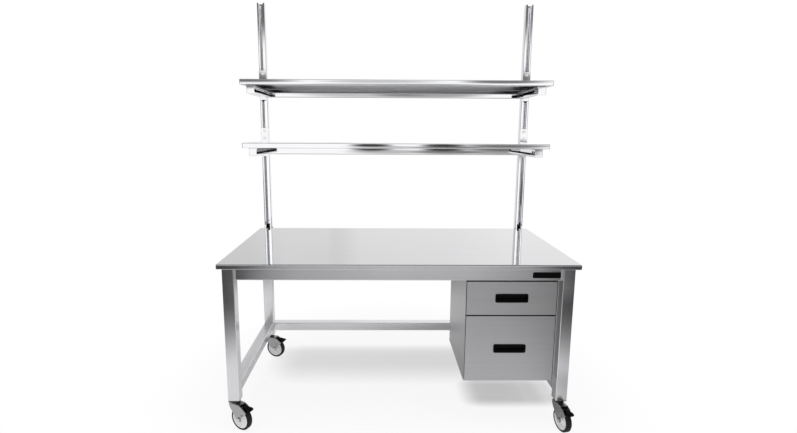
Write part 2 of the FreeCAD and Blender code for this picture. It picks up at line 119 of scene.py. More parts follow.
BODY_OF = {node: body for body, members in frame["record"]["behaviour"]["bodies"].items() for node in members}
JOINTS = {joint["name"]: joint for joint in frame["joints"]}
SIDES = ("left", "right")
LEVELS = ("upper", "lower")
CASTERS = ("front_left", "front_right", "rear_left", "rear_right")


class Value:
    """A number that changes over a surface. Python's operators on it add Math nodes."""

    def __init__(self, nodes, socket):
        self.nodes = nodes
        self.socket = socket

    def math(self, operation, first, second=None):
        sockets = {0: first} if second is None else {0: first, 1: second}
        node = self.nodes.node("ShaderNodeMath", {"operation": operation}, sockets)
        return Value(self.nodes, node.outputs[0])

    def __add__(self, other):
        return self.math("ADD", self, other)

    def __radd__(self, other):
        return self.math("ADD", other, self)

    def __sub__(self, other):
        return self.math("SUBTRACT", self, other)

    def __rsub__(self, other):
        return self.math("SUBTRACT", other, self)

    def __mul__(self, other):
        return self.math("MULTIPLY", self, other)

    def __rmul__(self, other):
        return self.math("MULTIPLY", other, self)

    def __truediv__(self, other):
        return self.math("DIVIDE", self, other)

    def __abs__(self):
        return self.math("ABSOLUTE", self)

    def larger(self, other):
        return self.math("MAXIMUM", self, other)

    def smaller(self, other):
        return self.math("MINIMUM", self, other)

    def clamped(self):
        return self.larger(0.0).smaller(1.0)


class Nodes:
    """The node tree of a finish or of the studio around the table."""

    def __init__(self, owner):
        owner.use_nodes = True
        self.tree = owner.node_tree

    def node(self, kind, settings=None, sockets=None):
        """Adds a node: its settings first, then the values or links of its sockets."""
        made = self.tree.nodes.new(kind)
        for key, value in (settings or {}).items():
            if key == "stops":
                self.set_stops(made.color_ramp, value)
            else:
                setattr(made, key, value)
        for key, value in (sockets or {}).items():
            self.feed(made.inputs[key], value)
        return made

    def set_stops(self, ramp, stops):
        while len(ramp.elements) < len(stops):
            ramp.elements.new(1.0)
        for element, (place, level) in zip(ramp.elements, stops):
            element.position = place
            element.color = (level, level, level, 1.0)

    def feed(self, socket, value):
        if isinstance(value, Value):
            value = value.socket
        if isinstance(value, bpy.types.NodeSocket):
            self.tree.links.new(value, socket)
        else:
            socket.default_value = value

    def value(self, kind, settings, sockets):
        return Value(self, self.node(kind, settings, sockets).outputs[0])

    def axes(self, vector):
        """The three components of a vector socket."""
        split = self.node("ShaderNodeSeparateXYZ", None, {0: vector})
        return [Value(self, output) for output in split.outputs]

    def mix(self, factor, first, second):
        """Colour between two colours."""
        made = self.node("ShaderNodeMix", {"data_type": "RGBA"}, {0: factor, 6: first, 7: second})
        return made.outputs[2]

    def fade(self, value, start, end):
        """0 at a start to 1 at an end, smoothly."""
        return self.value("ShaderNodeMapRange", {"interpolation_type": "SMOOTHSTEP"},
                          {0: value, 1: start, 2: end})

    def blob(self, side, rise, at_side, at_rise, width, height):
        """Soft round spot in the surroundings, sized in degrees."""
        across = (side - at_side) / width
        up = (rise - at_rise) / height
        return self.fade(across * across + up * up, 1.0, 0.1)

    def ramp(self, factor, stops):
        """Grey level from a factor, by stops of (place, level)."""
        return self.value("ShaderNodeValToRGB", {"stops": stops}, {0: factor})


class Finish(Nodes):
    """One material: a principled shader fed from object coordinates in metres."""

    def __init__(self, name):
        self.material = bpy.data.materials.new(name)
        super().__init__(self.material)
        self.shader = self.tree.nodes["Principled BSDF"]
        self.place = self.node("ShaderNodeTexCoord")

    def noise(self, scale, detail, roughness):
        """Noise from 0 to 1 with so many features to the metre along X, Y and Z."""
        mapping = self.node("ShaderNodeMapping", None,
                            {"Vector": self.place.outputs["Object"], "Scale": scale})
        return self.value("ShaderNodeTexNoise", None,
                          {"Vector": mapping.outputs[0], "Scale": 1.0, "Detail": detail,
                           "Roughness": roughness})

    def edges(self, gain):
        """1 on rounded edges, where the surface faces none of the axes, and 0 on flat faces."""
        x, y, z = self.axes(self.place.outputs["Normal"])
        return ((1 - abs(x).larger(abs(y)).larger(abs(z))) * gain).clamped()

    def set(self, **sockets):
        """Feeds the shader's sockets, named with underscores for spaces."""
        for key, value in sockets.items():
            self.feed(self.shader.inputs[key.replace("_", " ")], value)

    def bump(self, height, strength, distance):
        made = self.node("ShaderNodeBump", None,
                         {"Strength": strength, "Distance": distance, "Height": height})
        self.feed(self.shader.inputs["Normal"], made.outputs[0])


def grey(level, cool=1.01):
    """A grey, and how much stronger its blue is than its red and green."""
    return (level, level, level * cool, 1.0)


def grain_scale(along, across, axes):
    """Noise scale of brush lines that run along the named axes."""
    return tuple(along if axis in axes else across for axis in "XYZ")


def brushed_steel(name, axes, shade, roughness, anisotropy, turn, gloss_spread=0.1, relief=0.06):
    """Stainless steel with brush lines along the named axes, cloudy handling marks and brighter edges."""
    finish = Finish(name)
    lines = finish.noise(grain_scale(6.0, 1100.0, axes), 3.0, 0.6)
    streaks = finish.noise(grain_scale(1.6, 150.0, axes), 2.0, 0.6)
    clouds = finish.noise((5.0, 5.0, 5.0), 3.0, 0.6)
    edge = finish.edges(3.0)
    tone = (0.55 * streaks + 0.25 * lines + 0.2 * clouds).clamped()
    steel = finish.mix(tone, grey(shade * 0.86, COOL_STEEL), grey(shade * 1.1, COOL_STEEL))
    finish.set(
        Base_Color=finish.mix(edge * 0.6, steel, grey(min(shade * 1.25, 0.9), COOL_STEEL)),
        Metallic=1.0,
        Roughness=(roughness + gloss_spread * (streaks - 0.5) + gloss_spread * (lines - 0.5)
                   + 0.5 * gloss_spread * (clouds - 0.5) - 0.3 * roughness * edge).clamped(),
        Anisotropic=anisotropy,
        Anisotropic_Rotation=turn)
    finish.bump(lines, relief, 0.0002)
    return finish.material


def plated_steel(name, shade, roughness):
    """Zinc plate or black oxide: fine blotches, faint scuffs and rubbed edges."""
    finish = Finish(name)
    blotches = finish.noise((140.0, 140.0, 140.0), 4.0, 0.65)
    scuffs = finish.noise((900.0, 60.0, 300.0), 2.0, 0.6)
    edge = finish.edges(3.0)
    plate = finish.mix(blotches, grey(shade * 0.7), grey(shade * 1.25))
    finish.set(
        Base_Color=finish.mix(edge * 0.5, plate, grey(min(shade * 1.6 + 0.05, 0.9))),
        Metallic=1.0,
        Roughness=(roughness + 0.16 * (blotches - 0.5) + 0.1 * (scuffs - 0.5)).clamped())
    finish.bump(blotches, 0.08, 0.0004)
    return finish.material


def moulded(name, shade, roughness, grain, specular=0.5):
    """Moulded plastic or rubber with a fine spark grain, dusty patches and paler worn edges."""
    finish = Finish(name)
    pebbles = finish.noise((grain, grain, grain), 2.0, 0.6)
    dust = finish.noise((35.0, 35.0, 35.0), 4.0, 0.65)
    edge = finish.edges(2.5)
    body = finish.mix(dust, grey(shade * 0.8), grey(shade * 1.3))
    finish.set(
        Base_Color=finish.mix(edge * 0.35, body, grey(shade * 1.8 + 0.004)),
        Roughness=(roughness + 0.15 * (dust - 0.5) + 0.1 * (pebbles - 0.5)).clamped(),
        Specular_IOR_Level=specular)
    finish.bump(pebbles, 0.25, 0.0003)
    return finish.material


# Level brush lines turn the blur of a reflection by a quarter turn from that of upright ones
QUARTER_TURN = 0.25

# Brushed steel: axes of the brush lines, shade, roughness, how much the blur is drawn out and its turn,
# then the spread of the gloss and the relief of the lines
FINISHES = {
    "leg": brushed_steel("leg_steel", "Z", 0.7, 0.18, 0.5, 0.0, 0.06, 0.012),
    "rail_x": brushed_steel("cross_rail_steel", "X", 0.74, 0.14, 0.5, QUARTER_TURN, 0.05, 0.02),
    "rail_y": brushed_steel("side_rail_steel", "Y", 0.66, 0.3, 0.5, QUARTER_TURN, 0.08),
    # Steel of the cabinet and drawers, made darker than the other steel: painted shade against the bright light in
    # front of the table
    "panel": brushed_steel("cabinet_steel_painted_shade", "XY", 0.46, 0.34, 0.7, QUARTER_TURN),
    # Near-black steel: painted shade, for the drawer fronts' level folds and the case's front edges that sit in
    # the gaps and under the apron
    "fold": brushed_steel("drawer_fold_painted_shade_steel", "XY", 0.04, 0.4, 0.0, 0.0),
    "rim": brushed_steel("worktop_rim_steel", "XY", 0.74, 0.14, 0.5, QUARTER_TURN, 0.05, 0.02),
    "top": brushed_steel("worktop_steel", "X", 0.645, 0.05, 0.0, 0.0, 0.02, 0.004),
    "shelf": brushed_steel("shelf_steel", "X", 0.78, 0.03, 0.3, QUARTER_TURN, 0.01, 0.003),
    # Rougher steel on the shelves' downward faces, made paler: painted light in the dim gap under each shelf
    "underside": brushed_steel("shelf_underside_painted_light_steel", "X", 0.85, 0.4, 0.3, QUARTER_TURN, 0.08, 0.02),
    "upright": brushed_steel("upright_steel", "Z", 0.82, 0.06, 0.0, 0.0, 0.02, 0.003),
    "zinc": plated_steel("zinc_plate", 0.6, 0.28),
    # Zinc plate made darker for the forks: painted shade, so they don't shine with the bright floor they mirror
    "fork": plated_steel("fork_zinc_painted_shade", 0.36, 0.3),
    "bolt": plated_steel("bright_bolt", 0.78, 0.2),
    # Black oxide: the upright bolts' own finish, and painted shade on the caster mounts' upright faces
    "oxide": plated_steel("black_oxide_and_painted_shade", 0.05, 0.45),
    "black": moulded("black_moulding", 0.003, 0.5, 1800.0, 0.05),
    "core": moulded("pale_moulding", 0.8, 0.45, 1800.0),
    "rubber": moulded("tyre_rubber", 0.012, 0.6, 900.0, 0.25),
}


def new_object(name, mesh):
    made = bpy.data.objects.new(name, mesh)
    bpy.context.scene.collection.objects.link(made)
    return made


def piece(name, bm, node, finish, replaced=None, other_finish=None, has_other=None):
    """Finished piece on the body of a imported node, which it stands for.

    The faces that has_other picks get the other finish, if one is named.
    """
    mesh = bpy.data.meshes.new(name)
    bm.to_mesh(mesh)
    bm.free()
    mesh.shade_smooth()
    mesh.set_sharp_from_angle(angle=math.radians(40))
    mesh.materials.append(FINISHES[finish])
    if other_finish:
        mesh.materials.append(FINISHES[other_finish])
        for face in mesh.polygons:
            face.material_index = 1 if has_other(face) else 0
    made = new_object(name, mesh)
    made.modifiers.new("weighted_normals", "WEIGHTED_NORMAL").keep_sharp = True
    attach(made, BODY_OF[node])
    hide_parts(*([node] if replaced is None else replaced))


def is_upright(face):
    return abs(face.normal.z) < 0.35


def is_underside(face):
    return face.normal.z < -0.6


# Level faces of a drawer front, its top and bottom folds, which get painted shade
def is_level_fold(face):
    return abs(face.normal.z) > 0.5


def box_mesh(low, high):
    bm = bmesh.new()
    bmesh.ops.create_cube(bm, size=1.0)
    bmesh.ops.scale(bm, vec=Vector(high) - Vector(low), verts=bm.verts)
    bmesh.ops.translate(bm, vec=(Vector(low) + Vector(high)) / 2, verts=bm.verts)
    return bm


def edges_along(bm, axis):
    """Edges that run along an axis, 0, 1 or 2."""
    return [e for e in bm.edges if abs((e.verts[1].co - e.verts[0].co).normalized()[axis]) > 0.999]


def round_edges(bm, edges, radius, segments):
    bmesh.ops.bevel(bm, geom=edges, offset=radius, offset_type="OFFSET", affect="EDGES",
                    segments=segments, profile=0.5, material=-1, clamp_overlap=True)


def round_corners(bm, verts, reach, segments):
    bmesh.ops.bevel(bm, geom=verts, offset=reach, offset_type="OFFSET", affect="VERTICES",
                    segments=segments, profile=0.5, material=-1, clamp_overlap=True)


def sharp_edges(bm, degrees=30.0):
    return [e for e in bm.edges if len(e.link_faces) == 2 and e.calc_face_angle(0.0) > math.radians(degrees)]


def merge_into(bm, other):
    """Adds the faces of another bmesh."""
    mesh = bpy.data.meshes.new("part")
    other.to_mesh(mesh)
    other.free()
    bm.from_mesh(mesh)
    bpy.data.meshes.remove(mesh)


def block_mesh(low, high, radius, segments=2):
    """Block with all its edges rounded."""
    bm = box_mesh(low, high)
    round_edges(bm, bm.edges[:], radius, segments)
    return bm


def tube_mesh(node, axis, corner):
    """Square or oblong tube along an axis, with rounded corners, on the box of its node."""
    bm = box_mesh(*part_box(node))
    round_edges(bm, edges_along(bm, axis), corner, 5)
    return bm


def pan_mesh(width, depth, edge, fold, sheet, corner, arris, hole=None):
    """Folded sheet pan with its face up at z = 0, centred, and a hole of (width, depth) in its face."""
    bm = bmesh.new()
    bmesh.ops.create_grid(bm, x_segments=1, y_segments=1, size=0.5)
    bmesh.ops.scale(bm, vec=(width, depth, 1.0), verts=bm.verts)
    round_corners(bm, bm.verts[:], corner, 5)
    rim = bm.edges[:]
    for shift, shrink in ((Vector((0, 0, -edge)), (1.0, 1.0, 1.0)),
                          (Vector(), (1 - 2 * fold / width, 1 - 2 * fold / depth, 1.0))):
        grown = bmesh.ops.extrude_edge_only(bm, edges=rim)["geom"]
        verts = [g for g in grown if isinstance(g, bmesh.types.BMVert)]
        bmesh.ops.translate(bm, vec=shift, verts=verts)
        bmesh.ops.scale(bm, vec=shrink, verts=verts)
        rim = [g for g in grown if isinstance(g, bmesh.types.BMEdge)
               and g.verts[0] in verts and g.verts[1] in verts]
    bmesh.ops.recalc_face_normals(bm, faces=bm.faces)
    face = max(bm.faces, key=lambda f: f.calc_area())
    if face.normal.z < 0:
        bmesh.ops.reverse_faces(bm, faces=bm.faces)
    round_edges(bm, list(face.edges), arris, 5)
    foot = [e for e in sharp_edges(bm) if all(abs(v.co.z + edge) < 1e-6 for v in e.verts)]
    round_edges(bm, foot, 1.3 * sheet, 3)
    if hole:
        cut_hole(bm, hole)
    bmesh.ops.solidify(bm, geom=bm.faces[:], thickness=sheet)
    return bm


def cut_hole(bm, hole):
    """Cuts a centred oblong hole in the face of a pan."""
    face = max(bm.faces, key=lambda f: f.calc_area())
    geom = [face, *face.edges, *face.verts]
    for axis, size in enumerate(hole):
        for sign in (-1, 1):
            side = Vector((0, 0, 0))
            side[axis] = sign
            cut = bmesh.ops.bisect_plane(bm, geom=geom, plane_co=side * (size / 2), plane_no=side)
            geom = cut["geom"]
    inside = [f for f in bm.faces if abs(f.normal.z) > 0.9 and abs(f.calc_center_median().z) < 1e-4
              and abs(f.calc_center_median().x) < hole[0] / 2 and abs(f.calc_center_median().y) < hole[1] / 2]
    bmesh.ops.delete(bm, geom=inside, context="FACES")


def channel_mesh(outline, axis, start, end, bend):
    """Sheet folded along an open outline of points at start, and drawn out to end along an axis."""
    bm = bmesh.new()
    verts = [bm.verts.new(point) for point in outline]
    edges = [bm.edges.new(pair) for pair in zip(verts, verts[1:])]
    grown = bmesh.ops.extrude_edge_only(bm, edges=edges)["geom"]
    reach = Vector((0, 0, 0))
    reach[axis] = end - start
    bmesh.ops.translate(bm, vec=reach, verts=[g for g in grown if isinstance(g, bmesh.types.BMVert)])
    round_edges(bm, [e for e in bm.edges if len(e.link_faces) == 2], bend, 5)
    bmesh.ops.recalc_face_normals(bm, faces=bm.faces)
    return bm


def solid_sheet(bm, middle, wall):
    """Gives a folded sheet its thickness towards a middle point, outer faces outwards."""
    face = max(bm.faces, key=lambda f: f.calc_area())
    if face.normal.dot(face.calc_center_median() - Vector(middle)) < 0:
        bmesh.ops.reverse_faces(bm, faces=bm.faces)
    bmesh.ops.solidify(bm, geom=bm.faces[:], thickness=wall)
    return bm


def softened(node, radius):
    """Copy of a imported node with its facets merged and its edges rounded."""
    bm = bmesh.new()
    bm.from_mesh(frame["nodes"][node].data)
    bmesh.ops.remove_doubles(bm, verts=bm.verts, dist=1e-6)
    bmesh.ops.dissolve_limit(bm, angle_limit=math.radians(0.5), verts=bm.verts, edges=bm.edges)
    round_edges(bm, sharp_edges(bm), radius, 2)
    return bm


def turned_mesh(profile, reach, steps):
    """Ring turned round the Y axis from a closed outline of (radius, y) with rounded corners."""
    bm = bmesh.new()
    face = bm.faces.new([bm.verts.new((radius, y, 0.0)) for radius, y in profile])
    round_corners(bm, list(face.verts), reach, 3)
    bmesh.ops.delete(bm, geom=bm.faces[:], context="FACES_ONLY")
    bmesh.ops.spin(bm, geom=bm.verts[:] + bm.edges[:], axis=(0, 1, 0), cent=(0, 0, 0), dvec=(0, 0, 0),
                   angle=2 * math.pi, steps=steps, use_merge=True, use_normal_flip=False, use_duplicate=False)
    bmesh.ops.remove_doubles(bm, verts=bm.verts, dist=1e-6)
    bmesh.ops.recalc_face_normals(bm, faces=bm.faces)
    return bm


def plate_mesh(outline, thickness, edge):
    """Plate of an outline of (x, z, corner reach) points, centred on y = 0, with rounded edges."""
    bm = bmesh.new()
    face = bm.faces.new([bm.verts.new((x, -thickness / 2, z)) for x, z, _ in outline])
    corners = list(face.verts)
    for vert, (_, _, reach) in zip(corners, outline):
        if reach > 0:
            round_corners(bm, [vert], reach, 5)
    grown = bmesh.ops.extrude_face_region(bm, geom=bm.faces[:])["geom"]
    bmesh.ops.translate(bm, vec=(0, thickness, 0),
                        verts=[g for g in grown if isinstance(g, bmesh.types.BMVert)])
    bmesh.ops.recalc_face_normals(bm, faces=bm.faces)
    rim = [e for e in bm.edges if abs(e.verts[0].co.y - e.verts[1].co.y) < 1e-7]
    round_edges(bm, rim, edge, 2)
    return bm


def moved(bm, matrix):
    bmesh.ops.transform(bm, matrix=matrix, verts=bm.verts)
    return bm


def build_frame_tubes():
    for end in ("front", "rear"):
        for side in SIDES:
            node = f"{end}_{side}_leg"
            piece(f"{node}_tube", tube_mesh(node, 2, LEG_CORNER), node, "leg")
        piece(f"{end}_apron_tube", tube_mesh(f"{end}_apron", 0, RAIL_CORNER), f"{end}_apron", "rail_x")
    for side in SIDES:
        for kind in ("apron", "stretcher"):
            node = f"{side}_{kind}"
            piece(f"{node}_tube", tube_mesh(node, 1, RAIL_CORNER), node, "rail_y")
    piece("rear_stretcher_tube", tube_mesh("rear_stretcher", 0, RAIL_CORNER), "rear_stretcher", "rail_x")


def build_worktop():
    low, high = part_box("worktop")
    size = high - low
    bm = pan_mesh(size.x, size.y, size.z, TOP_FOLD, TOP_SHEET, TOP_CORNER, TOP_ARRIS)
    place = Matrix.Translation(((low.x + high.x) / 2, (low.y + high.y) / 2, high.z))
    piece("worktop_pan", moved(bm, place), "worktop", "top", None, "rim", is_upright)
    frame["nodes"]["worktop_stiffeners"].data.materials[0] = FINISHES["rail_x"]


def build_shelves():
    for level in LEVELS:
        low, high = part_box(f"{level}_shelf")
        size = high - low
        bm = pan_mesh(size.x, size.y, size.z, TOP_FOLD, SHELF_SHEET, SHELF_CORNER, SHELF_ARRIS)
        place = Matrix.Translation(((low.x + high.x) / 2, (low.y + high.y) / 2, high.z))
        piece(f"{level}_shelf_pan", moved(bm, place), f"{level}_shelf", "shelf", None,
              "underside", is_underside)
        rail = f"{level}_shelf_rail"
        piece(f"{rail}_tube", tube_mesh(rail, 0, RAIL_CORNER), rail, "shelf")
        for side in SIDES:
            build_bracket(f"{level}_{side}_bracket", high.z, 1 if side == "left" else -1)
        bolts = f"{level}_bracket_bolts"
        piece(f"{bolts}_set", softened(bolts, CRISP), bolts, "bolt")


def build_bracket(node, shelf_top, inward):
    """Plate on the upright and a cantilever arm, a channel whose slot faces the other bracket."""
    low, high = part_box(node)
    middle = (low.x + high.x) / 2
    plate_front = high.y - BRACKET_PLATE
    bm = block_mesh((low.x, plate_front, low.z), high, BRACKET_PLATE_EDGE, 3)
    top = shelf_top - SHELF_EDGE
    bottom = top - ARM_HEIGHT
    inner = middle + inward * (high.x - low.x) / 2
    outer = middle - inward * (high.x - low.x) / 2
    lip = (ARM_HEIGHT - CHANNEL_SLOT) / 2
    outline = [(inner, low.y, top - lip), (inner, low.y, top), (outer, low.y, top),
               (outer, low.y, bottom), (inner, low.y, bottom), (inner, low.y, bottom + lip)]
    arm = channel_mesh(outline, 1, low.y, plate_front, CHANNEL_BEND)
    merge_into(bm, solid_sheet(arm, (middle, (low.y + plate_front) / 2, (top + bottom) / 2), CHANNEL_WALL))
    inset = CHANNEL_WALL * CAP_INSET
    cap = block_mesh((low.x + inset, low.y + CRISP, bottom + inset),
                     (high.x - inset, low.y + CHANNEL_WALL, top - inset), CRISP)
    merge_into(bm, cap)
    piece(f"{node}_arm", bm, node, "shelf")


def build_uprights():
    for side in SIDES:
        node = f"{side}_upright"
        low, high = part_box(node)
        middle = (low.x + high.x) / 2
        half = CHANNEL_SLOT / 2
        outline = [(middle - half, low.y, low.z), (low.x, low.y, low.z), (low.x, high.y, low.z),
                   (high.x, high.y, low.z), (high.x, low.y, low.z), (middle + half, low.y, low.z)]
        bm = channel_mesh(outline, 2, low.z, high.z, CHANNEL_BEND)
        solid_sheet(bm, (low + high) / 2, CHANNEL_WALL)
        piece(f"{node}_channel", bm, node, "upright")
    piece("upright_bolt_set", softened("upright_bolts", CRISP), "upright_bolts", "oxide")


def build_cabinet():
    """Cabinet case, with the front edges near its top in the shade of the apron."""
    shaded_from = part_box("cabinet_shell")[1].z - CASE_SHADED_BAND
    # Front faces in the band under the apron get the near-black fold steel: painted shade of the apron
    piece("cabinet_case", softened("cabinet_shell", CASE_EDGE), "cabinet_shell", "panel", None, "fold",
          lambda face: face.normal.y < -0.5 and face.center.z > shaded_from)
    frame["nodes"]["slide_outers"].data.materials[0] = FINISHES["zinc"]


def build_drawers():
    for level in LEVELS:
        node = f"{level}_drawer_front"
        low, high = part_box(node)
        pull_low, pull_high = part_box(f"{level}_drawer_pull")
        hole = (pull_high.x - pull_low.x - 2 * PULL_OVERLAP, pull_high.z - pull_low.z - 2 * PULL_OVERLAP)
        high.z -= FRONT_RELIEF
        size = high - low
        bm = pan_mesh(size.x, size.z, size.y, FRONT_FOLD, SHELF_SHEET, FRONT_CORNER, FRONT_ARRIS, hole)
        face_front = Matrix.Rotation(math.pi / 2, 4, "X")
        place = Matrix.Translation(((low.x + high.x) / 2, low.y, (low.z + high.z) / 2))
        # The level folds of each front get the near-black fold steel: painted shade of the gaps around the drawers
        piece(f"{node}_panel", moved(bm, place @ face_front), node, "panel", None, "fold", is_level_fold)
        build_pull(level)
        tray = f"{level}_drawer_box"
        piece(f"{level}_drawer_tray", softened(tray, TRAY_EDGE), tray, "panel")
        for member in ("middles", "inners"):
            frame["nodes"][f"{level}_slide_{member}"].data.materials[0] = FINISHES["zinc"]


def build_pull(level):
    """Moulded recessed pull: a bezel, and a cup with a scooped floor behind a brow."""
    node = f"{level}_drawer_pull"
    low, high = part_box(node)
    size = high - low
    bm = bmesh.new()
    bmesh.ops.create_grid(bm, x_segments=1, y_segments=1, size=0.5)
    bmesh.ops.scale(bm, vec=(size.x, size.z, 1.0), verts=bm.verts)
    round_corners(bm, bm.verts[:], PULL_CORNER, 6)
    face = bm.faces[:][0]
    if face.normal.z < 0:
        bmesh.ops.reverse_faces(bm, faces=[face])
    face = bmesh.ops.extrude_discrete_faces(bm, faces=[face])["faces"][0]
    bmesh.ops.translate(bm, vec=(0, 0, PULL_BEZEL), verts=list(face.verts))
    bmesh.ops.inset_individual(bm, faces=[face], thickness=PULL_RIM, depth=0.0)
    for vert in face.verts:
        if vert.co.y > 0:
            vert.co.y -= PULL_BROW * (1.0 - (vert.co.x / size.x) ** 2)
    depth = size.y - PULL_BACK_ROOM
    inward = ((PULL_LIP, 0.0), (0.0, PULL_BROW), (depth - PULL_LIP, 0.0))
    for drop, lift in inward:
        face = bmesh.ops.extrude_discrete_faces(bm, faces=[face])["faces"][0]
        for vert in face.verts:
            vert.co.z -= drop
            if vert.co.y > 0:
                vert.co.y += lift
    for vert in face.verts:
        if vert.co.y < 0:
            vert.co.y += PULL_SCOOP
    bmesh.ops.remove_doubles(bm, verts=bm.verts, dist=1e-5)
    round_edges(bm, sharp_edges(bm, 35.0), PULL_EDGE, 3)
    bmesh.ops.recalc_face_normals(bm, faces=bm.faces)
    cup_floor = max(bm.faces, key=lambda f: f.calc_area())
    if cup_floor.normal.z < 0:
        bmesh.ops.reverse_faces(bm, faces=bm.faces)
    bmesh.ops.solidify(bm, geom=bm.faces[:], thickness=PULL_WALL)
    face_front = Matrix.Rotation(math.pi / 2, 4, "X")
    place = Matrix.Translation(((low.x + high.x) / 2, low.y + PULL_BEZEL, (low.z + high.z) / 2))
    piece(f"{level}_pull_cup", moved(bm, place @ face_front), node, "black")


def caster_frame(name):
    """Frame of a caster: X along its trail, Y along its axle, Z up, with the origin under the kingpin."""
    place = Vector(JOINTS[f"{name}_swivel"]["pos_m"])
    axle = Vector(JOINTS[f"{name}_wheel_spin"]["axis"])
    turn = Matrix.Rotation(math.atan2(-axle.x, axle.y), 4, "Z")
    return Matrix.Translation((place.x, place.y, 0.0)) @ turn


# Casters, in the frame of each. The pedal's pin is at (x, z)
TRAIL = 0.042
WHEEL_RADIUS = 0.0635
TYRE_HALF = 0.016
TYRE_SHOULDER = 0.005
TYRE_FLAT = 0.0105
GROOVE_MIDDLE = 0.0056
GROOVE_HALF = 0.0012
GROOVE_DEPTH = 0.0025
TYRE_EDGE = 0.0004
RIM_RADIUS = 0.052
RIM_HALF = 0.0145
RIM_DEPTH = 0.006
RIM_SLOPE = 0.012
RIM_PLAY = 0.0002
WEB_HALF = 0.005
HUB_RADIUS = 0.014
HUB_HALF = 0.018
HUB_FILLET = 0.003
HUB_STEP = 0.004
CORE_EDGE = 0.0012
AXLE_RADIUS = 0.0062
CROWN_TOP = 0.145
CROWN_BEND = 0.005
CROWN_BACK = -0.027
CROWN_FRONT = 0.051
FORK_HALF = 0.0225
FORK_SHEET = 0.003
FORK_EDGE = 0.0007
PIN = (0.06204, 0.13203)
PIN_CORE = 0.0002
PIN_RADIUS = 0.003
PIN_HEAD_RADIUS = 0.0036
PIN_HEAD_RIM = 0.0008
PIN_HEAD_DOME = 0.0012
PIN_HEAD_EDGE = 0.0003
PEDAL_EDGE = 0.0012
PEDAL_ARM_WIDTH = 0.0234
PEDAL_TREAD_WIDTH = 0.032
PEDAL_TIP_WIDTH = 0.014
RIB_PLACES = (0.0345, 0.0385, 0.0425, 0.0465)
RIB_HALF_LENGTH = 0.013
RIB_HALF_WIDTH = 0.0009
RIB_HEIGHT = 0.0007
RIB_ROOT = 0.002
RIB_EDGE = 0.0005
PEDAL_TREAD_START = (0.032, 0.003)
PEDAL_TREAD_FALL = 0.158


def fork_mesh():
    """Pressed fork: two swept legs with ears, rolled over into a crown, and the pedal's headed pin."""
    shoulder = CROWN_TOP - CROWN_BEND
    outline = [
        (CROWN_BACK, shoulder, 0.0), (0.056, shoulder, 0.01), (0.094, 0.114, 0.004),
        (0.086, 0.098, 0.006), (0.059, 0.0995, 0.008), (0.056, 0.0565, 0.006), (0.049, 0.0495, 0.005),
        (0.035, 0.0495, 0.005), (0.028, 0.0565, 0.012), (CROWN_BACK, 0.125, 0.014)]
    crown = [(CROWN_BACK, -FORK_HALF, shoulder), (CROWN_BACK, -FORK_HALF, CROWN_TOP),
             (CROWN_BACK, FORK_HALF, CROWN_TOP), (CROWN_BACK, FORK_HALF, shoulder)]
    bm = channel_mesh(crown, 0, CROWN_BACK, CROWN_FRONT, CROWN_BEND * 0.95)
    solid_sheet(bm, (0.01, 0.0, 0.1), FORK_SHEET)
    for side in (-1, 1):
        leg = plate_mesh(outline, FORK_SHEET, FORK_EDGE)
        shift = Matrix.Translation((0, side * (FORK_HALF - FORK_SHEET / 2), 0))
        merge_into(bm, moved(leg, shift))
        dome = [(PIN_CORE, 0.0), (PIN_HEAD_RADIUS, 0.0), (PIN_HEAD_RADIUS, PIN_HEAD_RIM),
                (PIN_CORE, PIN_HEAD_DOME)]
        face = Matrix.Translation((PIN[0], side * FORK_HALF, PIN[1])) @ Matrix.Scale(side, 4, (0, 1, 0))
        merge_into(bm, moved(turned_mesh(dome, PIN_HEAD_EDGE, 20), face))
    inner = FORK_HALF - FORK_SHEET
    shank = [(PIN_CORE, -inner), (PIN_RADIUS, -inner), (PIN_RADIUS, inner), (PIN_CORE, inner)]
    merge_into(bm, moved(turned_mesh(shank, PIN_CORE, 16), Matrix.Translation((PIN[0], 0, PIN[1]))))
    # The head on one side is mirrored, which turns its faces inwards
    bmesh.ops.recalc_face_normals(bm, faces=bm.faces)
    return bm


def mirrored_profile(half):
    """Closed outline of (radius, y) from its half at negative y."""
    return half + [(radius, -y) for radius, y in reversed(half)]


def tyre_mesh():
    """Rubber tyre with rounded shoulders and two fine tread grooves."""
    half = [(RIM_RADIUS, -TYRE_HALF), (WHEEL_RADIUS - TYRE_SHOULDER, -TYRE_HALF), (WHEEL_RADIUS, -TYRE_FLAT),
            (WHEEL_RADIUS, -GROOVE_MIDDLE - GROOVE_HALF), (WHEEL_RADIUS - GROOVE_DEPTH, -GROOVE_MIDDLE),
            (WHEEL_RADIUS, -GROOVE_MIDDLE + GROOVE_HALF)]
    return turned_mesh(mirrored_profile(half), TYRE_EDGE, 72)


def core_mesh():
    """Moulded wheel core: hub, dished web and rim."""
    half = [(AXLE_RADIUS, -HUB_HALF), (HUB_RADIUS, -HUB_HALF),
            (HUB_RADIUS + HUB_FILLET, -WEB_HALF - HUB_STEP), (RIM_RADIUS - RIM_SLOPE, -WEB_HALF),
            (RIM_RADIUS - RIM_DEPTH, -RIM_HALF), (RIM_RADIUS - RIM_PLAY, -RIM_HALF)]
    return turned_mesh(mirrored_profile(half), CORE_EDGE, 64)


